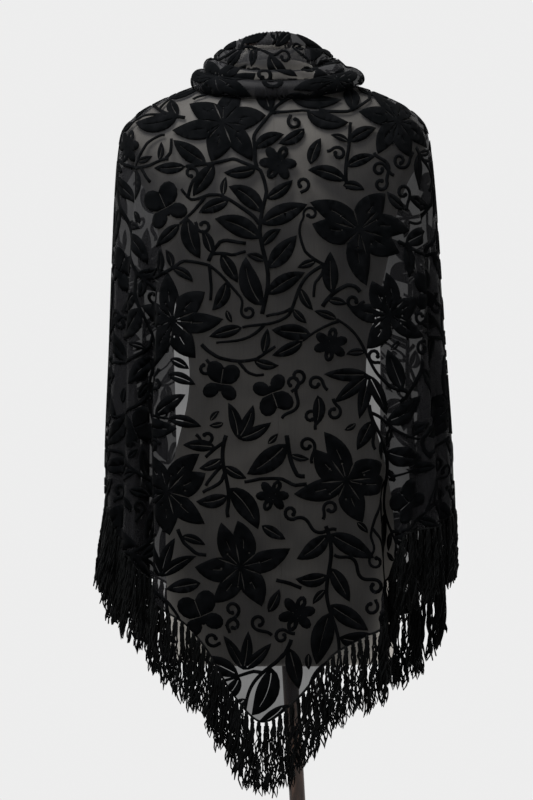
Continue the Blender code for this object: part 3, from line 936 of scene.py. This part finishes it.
velvet_finish = velvet()
cloth_edge = unrolled_edge()
design = Layout(cloth_edge)
draw_design(design, random.Random(DESIGN_SEED))
velvet_pile = add_piece("shawl_velvet", pile_on(*flat_triangles(design, PILE_STEP), draped_surface),
                        velvet_finish, "burnout_velvet")
raise_pile(velvet_pile)


# The collar
# The shawl's long edge, folded back on itself and rolled loosely three times round the neck. It is
# the same chiffon and velvet, and it lies on the shoulders without a stitch.
COLLAR_SEAT_BACK = 1.408
COLLAR_SEAT_SIDE = 1.436
COLLAR_SIDE = 0.6
COLLAR_LIFT = 0.0018
NECK_RADIUS = 0.060
COLLAR_SPREAD = 0.016
COLLAR_COLUMNS = 220
COLLAR_ROWS = 110
COLLAR_STEPS = 401
COLLAR_PILE_STEP = 0.005
COLLAR_SEED = 21
COLLAR_FILL_TRIES = 2500
COLLAR_STEM_UP, COLLAR_STEM_LENGTH, COLLAR_STEM_WIDTH = 0.06, 0.16, 0.006

# Section of the rolls, from the seat on the shoulders to the neck
# way along, share in, bulge outwards, rise at the back, left, right and front
ROLLS = [
    (0.00, 0.00, 0.001, -0.002, 0.000, 0.000, 0.000),
    (0.06, 0.00, 0.006, 0.003, 0.005, 0.003, 0.004),
    (0.14, 0.01, 0.008, 0.012, 0.013, 0.0095, 0.009),
    (0.22, 0.05, 0.005, 0.020, 0.020, 0.017, 0.013),
    (0.29, 0.14, 0.001, 0.022, 0.023, 0.0215, 0.015),
    (0.34, 0.21, -0.002, 0.019, 0.023, 0.0225, 0.015),
    (0.40, 0.28, 0.003, 0.027, 0.028, 0.026, 0.018),
    (0.48, 0.37, 0.004, 0.036, 0.034, 0.030, 0.023),
    (0.54, 0.46, 0.000, 0.039, 0.036, 0.0315, 0.025),
    (0.58, 0.51, -0.002, 0.037, 0.036, 0.032, 0.026),
    (0.64, 0.58, 0.003, 0.048, 0.039, 0.0355, 0.029),
    (0.72, 0.67, 0.003, 0.061, 0.043, 0.0385, 0.031),
    (0.78, 0.76, 0.001, 0.068, 0.046, 0.0405, 0.033),
    (0.82, 0.81, -0.001, 0.068, 0.046, 0.0405, 0.033),
    (0.87, 0.86, 0.002, 0.080, 0.049, 0.0435, 0.036),
    (0.94, 0.94, 0.000, 0.092, 0.052, 0.0455, 0.038),
    (1.00, 1.02, -0.002, 0.056, 0.026, 0.020, 0.016),
]

# Flowers of the collar's design in the flat, round the neck and up the section, in metres
# across, up, turn in degrees, size
COLLAR_LILIES = [
    (-0.060, 0.030, 20, 0.090), (0.095, 0.120, 50, 0.095),
    (-0.120, 0.125, 10, 0.085), (0.060, 0.020, 0, 0.080),
]

# Its stems: across, heading in degrees
COLLAR_STEMS = [(-0.10, 60), (0.02, 100), (0.05, 30), (-0.20, 80), (0.20, 100), (0.00, 20)]


def collar_point(turn, along):
    """Points of the collar at a share of the way round, - to the left, and a way along its section."""
    side = np.abs(turn)
    beside, front = smooth(0.0, COLLAR_SIDE, side), smooth(COLLAR_SIDE, 1.0, side)
    height = COLLAR_SEAT_BACK + (COLLAR_SEAT_SIDE - COLLAR_SEAT_BACK) * beside
    out = out_of_cloth(turn, height)
    seat = plain_cloth(turn, height)
    seat[:, 2] += COLLAR_LIFT
    angle = turn * math.radians(DRAPE[0][5])
    neck = leaning(np.sin(angle) * NECK_RADIUS, -np.cos(angle) * NECK_RADIUS, seat[:, 2])
    neck[:, 2] = seat[:, 2]
    share, bulge, rise_back, rise_left, rise_right, rise_front = between(ROLLS, along)
    rise = rise_back + (np.where(turn < 0, rise_left, rise_right) - rise_back) * beside
    rise += (rise_front - rise) * front
    loose = np.sin(along * math.pi)
    rise += loose * (0.0020 * np.sin(turn * 6.0 + along * 7.0) + 0.0007 * np.sin(turn * 19.0 - along * 9.0))
    spread = np.where(turn > 0, COLLAR_SPREAD, 0.0) * beside * (1 - front) * (1 - smooth(0.05, 0.50, along))
    bulge = bulge * (1 - 0.5 * beside) + spread + loose * 0.0009 * np.sin(turn * 9.0 + along * 13.0)
    point = seat + (neck - seat) * share[:, None] + out * bulge[:, None]
    point[:, 2] += rise
    return point


def collar_cloth():
    shape, flat = grid(COLLAR_COLUMNS, COLLAR_ROWS)
    set_points(shape.verts, collar_point(flat[:, 0], (flat[:, 1] + 1) / 2))
    return shape


ways = np.linspace(0, 1, COLLAR_STEPS)
turns = np.linspace(-1, 1, COLLAR_STEPS)
section_run = run_along(collar_point(np.zeros(COLLAR_STEPS), ways))
neck_run = run_along(collar_point(turns, np.full(COLLAR_STEPS, 0.55)))
neck_run -= neck_run[COLLAR_STEPS // 2]


def collar_surface(flat):
    """Points of the collar and directions out of it, for corners in the flat."""
    turn = np.interp(flat[:, 0], neck_run, turns)
    along = np.interp(flat[:, 1], section_run, ways)
    return with_normals(collar_point, turn, along, 0.004, 0.003, 1.0)


collar = add_piece("collar_ground", collar_cloth(), chiffon_finish, "burnout_velvet", "shawl_collar")
collar_edge = np.array(
    [(x, 0.001) for x in np.linspace(neck_run[0], neck_run[-1], 60)]
    + [(x, section_run[-1] - 0.001) for x in np.linspace(neck_run[-1], neck_run[0], 60)]
)
collar_design = Layout(collar_edge)
collar_chance = random.Random(COLLAR_SEED)
for across, up, turn, size in COLLAR_LILIES:
    lily(collar_design, (across, up), math.radians(turn), size, collar_chance)
for across, heading in COLLAR_STEMS:
    spray(collar_design, (across, COLLAR_STEM_UP), math.radians(heading), COLLAR_STEM_LENGTH,
          COLLAR_STEM_WIDTH, collar_chance, 1)
fill_gaps(collar_design, collar_chance, COLLAR_FILL_TRIES)
collar_velvet = add_piece("collar_velvet",
                          pile_on(*flat_triangles(collar_design, COLLAR_PILE_STEP), collar_surface),
                          velvet_finish, "burnout_velvet")
raise_pile(collar_velvet)


# The fringe
# Bundles of thin twisted rayon cord, knotted one by one through the rolled hem along both short
# edges. Each cord goes down and back up in a kinked loop.
BUNDLE_SPACING = 0.0105
LOOPS_A_BUNDLE = 5
CORD_RADIUS = 0.00105
CORD_STEPS = 15
FRINGE_LENGTH = 0.094
HEM_RADIUS = 0.0016
SPREAD_AT_KNOT, SPREAD_GROWS = 0.0022, 0.0024
SLOW_KINK, QUICK_KINK = 0.0015, 0.0010

# How far the cords at the left run outwards, for each unit of their length
FLARE = 0.04, 0.20

# The knot at a bundle's root: depth below it, thickness in cords
KNOT = [(-0.003, 1.2), (0.001, 2.5), (0.005, 2.2), (0.009, 1.2)]

# Between these stations, at the right, the cords are shorter by this much
SHORTER_BY = 0.012
SHORTER_FROM, SHORTER_FULL, SHORTER_TILL, SHORTER_END = 0.20, 0.24, 0.36, 0.42


def rayon():
    """Black twisted cord with a soft sheen, its twist as fine slanting ribs."""
    material, place = new_finish("black_rayon_cord", Roughness=0.5, Sheen_Weight=0.004,
                                 Specular_IOR_Level=0.02)
    twist = place.node("TexWave", {"Vector": place, "Scale": 210.0, "Distortion": 3.0, "Detail": 1.0},
                       wave_type="BANDS", bands_direction="DIAGONAL")
    fade = place.noise(60.0, 2.0)
    colour = fade.tones((0.35, (0.0005, 0.0006, 0.0006)), (0.70, (0.0017, 0.0019, 0.0020)))
    relief = twist.relief(0.6, 0.0005)
    feed(material, Base_Color=colour, Normal=relief)
    return material


def add_line(curve, points, radii):
    line = curve.splines.new("POLY")
    line.points.add(len(points) - 1)
    for spot, point, radius in zip(line.points, points, radii):
        spot.co = (*point, 1.0)
        spot.radius = radius


def loop_of_cord(root, out, along, chance, length, flare):
    """One cord's kinked way down from its knot, round in a small eye and back up again."""
    lean, turns = chance.uniform(-0.06, 0.06), chance.uniform(0.7, 1.6)
    spot, eye = chance.uniform(0, math.tau), chance.uniform(0.0012, 0.0026)
    points = []
    for leg in (0, 1):
        slow, quick = chance.uniform(0, math.tau), chance.uniform(0, math.tau)
        for i in range(CORD_STEPS + 1):
            t = (CORD_STEPS - i if leg else i) / CORD_STEPS
            spread = SPREAD_AT_KNOT + SPREAD_GROWS * t
            angle = spot + turns * math.tau * t + leg * 1.3 * (1 - t ** 4)
            wave = SLOW_KINK * math.sin(23 * t + slow) + QUICK_KINK * math.sin(47 * t + quick)
            kink = wave * min(1.0, 0.3 + 1.2 * t) * (1 - t ** 8)
            opening = (eye if leg else -eye) * math.sin(math.pi * t ** 6)
            side = spread * math.cos(angle) + kink + opening + lean * length * t
            depth = 0.001 + spread * 0.7 * math.sin(angle) + kink * 0.6 + flare * length * t
            points.append(root + along * side + out * depth - np.array((0, 0, length * t)))
    return points


def fringe_of(name, side, material, node):
    """All bundles of one short edge, their knots, and the rolled hem that they hang from."""
    chance = random.Random(name)
    curve = bpy.data.curves.new(name, "CURVE")
    curve.dimensions = "3D"
    curve.bevel_depth = CORD_RADIUS
    curve.bevel_resolution = 0
    middle = np.interp(0.0, hem_shares, hem_run)
    end = hem_run[-1] if side > 0 else 0.0
    count = int(abs(end - middle) / BUNDLE_SPACING)
    for i in range(count):
        run = middle + (end - middle) * (i + 0.5) / count
        share = np.array([np.interp(run, hem_run, hem_shares)])
        root = cloth_point(share, hem_height(share))[0]
        out = out_of_cloth(share, hem_height(share))[0]
        along = np.array((-out[1], out[0], 0.0))
        root = root - np.array((0, 0, 0.002))
        length = FRINGE_LENGTH + chance.uniform(-0.007, 0.006)
        station = station_of(share)[0]
        begun, ended = smooth(SHORTER_FROM, SHORTER_FULL, station), smooth(SHORTER_TILL, SHORTER_END, station)
        length -= SHORTER_BY * begun * (1 - ended)
        flare = max(0.0, -out[0]) * chance.uniform(*FLARE)
        add_line(curve, [root + out * 0.0005 - np.array((0, 0, drop)) for drop, _ in KNOT],
                 [thickness for _, thickness in KNOT])
        for _ in range(LOOPS_A_BUNDLE):
            points = loop_of_cord(root - np.array((0, 0, 0.004)), out, along, chance,
                                  length + chance.uniform(-0.008, 0.004), flare)
            add_line(curve, points, [1.0] * len(points))
    hem = [hem_points[j] for j in range(0, len(hem_points), 6) if hem_shares[j] * side >= 0]
    add_line(curve, hem, [HEM_RADIUS / CORD_RADIUS] * len(hem))
    cords = new_object(name + "_cords", curve)
    bpy.context.view_layer.update()
    made = bpy.data.meshes.new_from_object(cords.evaluated_get(bpy.context.evaluated_depsgraph_get()))
    bpy.data.objects.remove(cords)
    shape = bmesh.new()
    shape.from_mesh(made)
    bpy.data.meshes.remove(made)
    return add_piece(name, shape, material, "rayon_fringe", node)


rayon_finish = rayon()
fringes = [fringe_of("fringe_cords_left", -1, rayon_finish, "fringe_left"),
           fringe_of("fringe_cords_right", 1, rayon_finish, "fringe_right")]


# The studio
# A plain pale floor under a plain pale surround, one soft lamp over the left shoulder and a weaker
# one at the right, and the camera where the photograph was taken from.
CAMERA_PLACE = (-0.0673, -4.0, 1.0066)
CAMERA_LENS = 131.77
SURROUND = (0.85, 0.85, 0.85)


def pale_floor():
    material, place = new_finish("pale_floor", Roughness=0.9)
    mottle = place.noise(3.0, 4.0)
    colour = mottle.tones((0.3, (0.47, 0.47, 0.47)), (0.7, (0.51, 0.51, 0.51)))
    feed(material, Base_Color=colour)
    return material


floor_shape = bmesh.new()
bmesh.ops.create_circle(floor_shape, cap_ends=True, segments=96, radius=2.6)
studio_floor = new_object("studio_floor", mesh_of("studio_floor", floor_shape, pale_floor()))


def lamp(name, place, aim, size, power):
    data = bpy.data.lights.new(name, "AREA")
    data.shape = "DISK"
    data.size = size
    data.energy = power
    light = new_object(name, data)
    light.location = place
    light.rotation_euler = (Vector(aim) - Vector(place)).to_track_quat("-Z", "Y").to_euler()


lamp("high_left_lamp", (-0.5, -0.65, 2.45), (-0.08, 0.0, 1.3), 0.9, 108.0)
lamp("right_lamp", (2.2, -2.2, 1.8), (-0.05, 0.0, 1.0), 1.6, 18.0)

world = bpy.data.worlds.new("pale_surround")
world.use_nodes = True
world.node_tree.nodes["Background"].inputs["Color"].default_value = (*SURROUND, 1.0)
bpy.context.scene.world = world
bpy.context.scene.view_settings.view_transform = "Standard"

camera = new_object("camera", bpy.data.cameras.new("camera"))
camera.data.lens = CAMERA_LENS
camera.location = CAMERA_PLACE
camera.rotation_euler = (math.pi / 2, 0.0, 0.0)
bpy.context.scene.camera = camera
